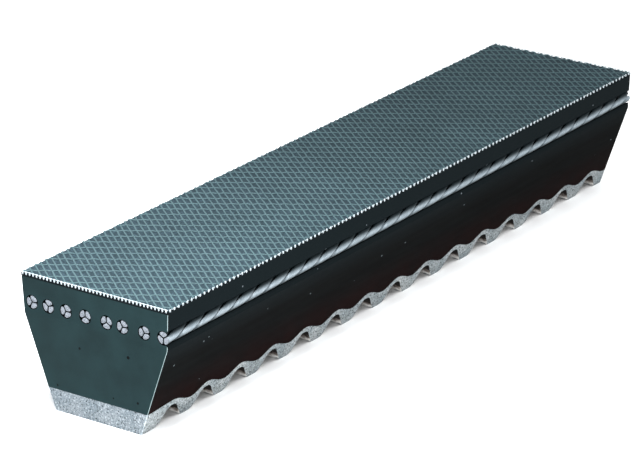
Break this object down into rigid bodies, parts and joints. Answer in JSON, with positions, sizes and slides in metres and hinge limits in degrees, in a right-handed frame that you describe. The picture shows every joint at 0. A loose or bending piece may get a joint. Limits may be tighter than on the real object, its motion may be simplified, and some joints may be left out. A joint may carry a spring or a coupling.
{
  "type": "v belt",
  "caption": "Straight cut length of a notched raw-edge V-belt that shows its layers: bias fabric back, rubber body, twisted tension cords and a wavy cogged underside.",
  "frame": {"origin": "middle of the underside, on the plane of the notch crests, halfway between the two cuts", "axes": "+X along the belt from the near cut to the far cut, +Y across it to the closed flank, +Z from the notch crests up to the fabric back; the edge cord lies open in the -Y side"},
  "size_m": [0.06, 0.013, 0.01],
  "materials": {
    "cover_yarn": "thin rubberised cotton and polyester yarns on the bias, pale at their cut ends",
    "skim_rubber": "thin calendered rubber skim, matt, dark teal grey",
    "body_rubber": "cut and ground dark green-grey rubber, matt, with fine specks",
    "cord_yarn": "pale grey stretched polyester cord plies, dipped, slightly silky",
    "cog_rubber": "fibre-filled pale blue-grey rubber with dark and light specks, matt"
  },
  "bodies": {
    "root": {"adhesion_gum_lower": "body_rubber", "adhesion_gum_upper": "body_rubber", "cog_layer": "cog_rubber", "cord_1_ply_a": "cord_yarn", "cord_1_ply_b": "cord_yarn", "cord_1_ply_c": "cord_yarn", "cord_2_ply_a": "cord_yarn", "cord_2_ply_b": "cord_yarn", "cord_2_ply_c": "cord_yarn", "cord_3_ply_a": "cord_yarn", "cord_3_ply_b": "cord_yarn", "cord_3_ply_c": "cord_yarn", "cord_4_ply_a": "cord_yarn", "cord_4_ply_b": "cord_yarn", "cord_4_ply_c": "cord_yarn", "cord_5_ply_a": "cord_yarn", "cord_5_ply_b": "cord_yarn", "cord_5_ply_c": "cord_yarn", "cord_6_ply_a": "cord_yarn", "cord_6_ply_b": "cord_yarn", "cord_6_ply_c": "cord_yarn", "cord_7_ply_a": "cord_yarn", "cord_7_ply_b": "cord_yarn", "cord_7_ply_c": "cord_yarn", "cord_8_ply_a": "cord_yarn", "cord_8_ply_b": "cord_yarn", "cord_8_ply_c": "cord_yarn", "fabric_skim": "skim_rubber", "fabric_warp_yarns": "cover_yarn", "fabric_weft_yarns": "cover_yarn", "overcord_rubber": "body_rubber", "undercord_rubber": "body_rubber"}
  },
  "joints": []
}
